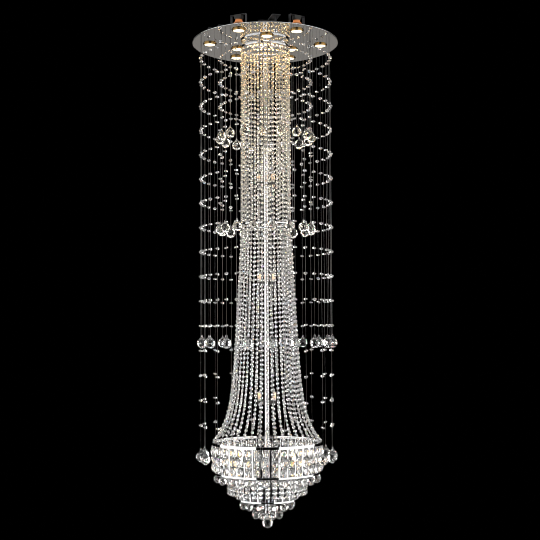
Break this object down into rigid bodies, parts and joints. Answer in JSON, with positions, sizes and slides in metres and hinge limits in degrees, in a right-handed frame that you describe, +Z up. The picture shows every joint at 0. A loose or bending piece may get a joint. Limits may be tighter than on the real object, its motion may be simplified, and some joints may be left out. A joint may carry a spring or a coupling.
{
  "type": "crystal cascade ceiling light",
  "caption": "Long crystal cascade light hanging from a round mirror ceiling plate, with a bead-strand column, a tiered crystal bowl and a curtain of strings.",
  "frame": {"origin": "on the ceiling face, at the centre of the bracket's bolt circle", "axes": "+Z up along the stem, into the ceiling; +X and +Y level"},
  "size_m": [0.5999, 0.6, 2.0533],
  "materials": {
    "zinc_steel": "zinc plated",
    "chrome": "bright polished",
    "mirror_plate": "mirror polished stainless",
    "mirror_tray": "mirror polished stainless",
    "lamp_ceramic": "unglazed",
    "silicone_lead": "matt silicone",
    "white_cover": "white powder coat",
    "terminal_plastic": "moulded",
    "crystal": "cut and polished clear crystal",
    "steel_wire": "thin bright wire",
    "spot_lamp": "lit reflector lamp",
    "capsule_lamp": "lit frosted capsule"
  },
  "bodies": {
    "frame": {"bottom_balls_inner": "crystal", "bottom_balls_outer": "crystal", "bowl_bottom_ring": "chrome", "bowl_bottom_tray": "mirror_tray", "bowl_end_plate": "mirror_tray", "bowl_lampholders": "lamp_ceramic", "bowl_middle_ring": "chrome", "bowl_middle_tray": "mirror_tray", "bowl_spider": "chrome", "bowl_top_ring": "chrome", "cap_screws": "chrome", "ceiling_bracket": "zinc_steel", "ceiling_plate": "mirror_plate", "column_ring": "chrome", "column_spider": "chrome", "finial_eye": "chrome", "hanger_pillars": "zinc_steel", "inner_string_wires": "steel_wire", "junction_cover": "white_cover", "lamp_bridges": "zinc_steel", "lamp_leads": "silicone_lead", "lower_strands": "crystal", "outer_string_wires": "steel_wire", "rim_balls": "crystal", "ring_posts": "chrome", "spot_lampholders": "lamp_ceramic", "stem_lampholders": "lamp_ceramic", "stem_nuts": "chrome", "stem_tube": "chrome", "string_balls_a": "crystal", "string_balls_b": "crystal", "string_balls_c": "crystal", "string_balls_d": "crystal", "terminal_block": "terminal_plastic", "tier_1_bars": "chrome", "tier_1_crystals": "crystal", "tier_1_hoop": "chrome", "tier_2_bars": "chrome", "tier_2_prisms": "crystal", "upper_strands": "crystal"},
    "bowl_lamp_1": {"bowl_lamp_1": "capsule_lamp"},
    "bowl_lamp_2": {"bowl_lamp_2": "capsule_lamp"},
    "bowl_lamp_3": {"bowl_lamp_3": "capsule_lamp"},
    "bowl_lamp_4": {"bowl_lamp_4": "capsule_lamp"},
    "spot_lamp_1": {"spot_lamp_1": "spot_lamp"},
    "spot_lamp_2": {"spot_lamp_2": "spot_lamp"},
    "spot_lamp_3": {"spot_lamp_3": "spot_lamp"},
    "spot_lamp_4": {"spot_lamp_4": "spot_lamp"},
    "spot_lamp_5": {"spot_lamp_5": "spot_lamp"},
    "spot_lamp_6": {"spot_lamp_6": "spot_lamp"},
    "spot_lamp_7": {"spot_lamp_7": "spot_lamp"},
    "spot_lamp_8": {"spot_lamp_8": "spot_lamp"},
    "spot_lamp_9": {"spot_lamp_9": "spot_lamp"},
    "stem_lamp_1": {"stem_lamp_1": "capsule_lamp"},
    "stem_lamp_2": {"stem_lamp_2": "capsule_lamp"},
    "stem_lamp_3": {"stem_lamp_3": "capsule_lamp"},
    "stem_lamp_4": {"stem_lamp_4": "capsule_lamp"},
    "stem_lamp_5": {"stem_lamp_5": "capsule_lamp"},
    "stem_lamp_6": {"stem_lamp_6": "capsule_lamp"},
    "finial_ball": {"finial_ball": "crystal"}
  },
  "joints": [
    {"name": "spot_1_twist", "type": "hinge", "parent": "frame", "child": "spot_lamp_1", "pos_m": [0.22878, 0.00999, -0.083], "axis": [0, 0, -1], "range_deg": [0, 30]},
    {"name": "spot_2_twist", "type": "hinge", "parent": "frame", "child": "spot_lamp_2", "pos_m": [0.10574, 0.20312, -0.083], "axis": [0, 0, -1], "range_deg": [0, 30]},
    {"name": "spot_3_twist", "type": "hinge", "parent": "frame", "child": "spot_lamp_3", "pos_m": [-0.12304, 0.19314, -0.083], "axis": [0, 0, -1], "range_deg": [0, 30]},
    {"name": "spot_4_twist", "type": "hinge", "parent": "frame", "child": "spot_lamp_4", "pos_m": [-0.22878, -0.00999, -0.083], "axis": [0, 0, -1], "range_deg": [0, 30]},
    {"name": "spot_5_twist", "type": "hinge", "parent": "frame", "child": "spot_lamp_5", "pos_m": [-0.10574, -0.20312, -0.083], "axis": [0, 0, -1], "range_deg": [0, 30]},
    {"name": "spot_6_twist", "type": "hinge", "parent": "frame", "child": "spot_lamp_6", "pos_m": [0.12304, -0.19314, -0.083], "axis": [0, 0, -1], "range_deg": [0, 30]},
    {"name": "spot_7_twist", "type": "hinge", "parent": "frame", "child": "spot_lamp_7", "pos_m": [0.10964, 0.06985, -0.083], "axis": [0, 0, -1], "range_deg": [0, 30]},
    {"name": "spot_8_twist", "type": "hinge", "parent": "frame", "child": "spot_lamp_8", "pos_m": [-0.11531, 0.06003, -0.083], "axis": [0, 0, -1], "range_deg": [0, 30]},
    {"name": "spot_9_twist", "type": "hinge", "parent": "frame", "child": "spot_lamp_9", "pos_m": [0.00567, -0.12988, -0.083], "axis": [0, 0, -1], "range_deg": [0, 30]},
    {"name": "stem_lamp_1_pull", "type": "slide", "parent": "frame", "child": "stem_lamp_1", "axis": [0, 0, 1], "range_m": [0, 0.012]},
    {"name": "stem_lamp_2_pull", "type": "slide", "parent": "frame", "child": "stem_lamp_2", "axis": [0, 0, 1], "range_m": [0, 0.012]},
    {"name": "stem_lamp_3_pull", "type": "slide", "parent": "frame", "child": "stem_lamp_3", "axis": [0, 0, 1], "range_m": [0, 0.012]},
    {"name": "stem_lamp_4_pull", "type": "slide", "parent": "frame", "child": "stem_lamp_4", "axis": [0, 0, 1], "range_m": [0, 0.012]},
    {"name": "stem_lamp_5_pull", "type": "slide", "parent": "frame", "child": "stem_lamp_5", "axis": [0, 0, 1], "range_m": [0, 0.012]},
    {"name": "stem_lamp_6_pull", "type": "slide", "parent": "frame", "child": "stem_lamp_6", "axis": [0, 0, 1], "range_m": [0, 0.012]},
    {"name": "bowl_lamp_1_pull", "type": "slide", "parent": "frame", "child": "bowl_lamp_1", "axis": [0, 0, 1], "range_m": [0, 0.012]},
    {"name": "bowl_lamp_2_pull", "type": "slide", "parent": "frame", "child": "bowl_lamp_2", "axis": [0, 0, 1], "range_m": [0, 0.012]},
    {"name": "bowl_lamp_3_pull", "type": "slide", "parent": "frame", "child": "bowl_lamp_3", "axis": [0, 0, 1], "range_m": [0, 0.012]},
    {"name": "bowl_lamp_4_pull", "type": "slide", "parent": "frame", "child": "bowl_lamp_4", "axis": [0, 0, 1], "range_m": [0, 0.012]},
    {"name": "finial_swing", "type": "hinge", "parent": "frame", "child": "finial_ball", "pos_m": [0, 0, -1.99525], "axis": [0, 1, 0], "range_deg": [-15, 15]}
  ]
}
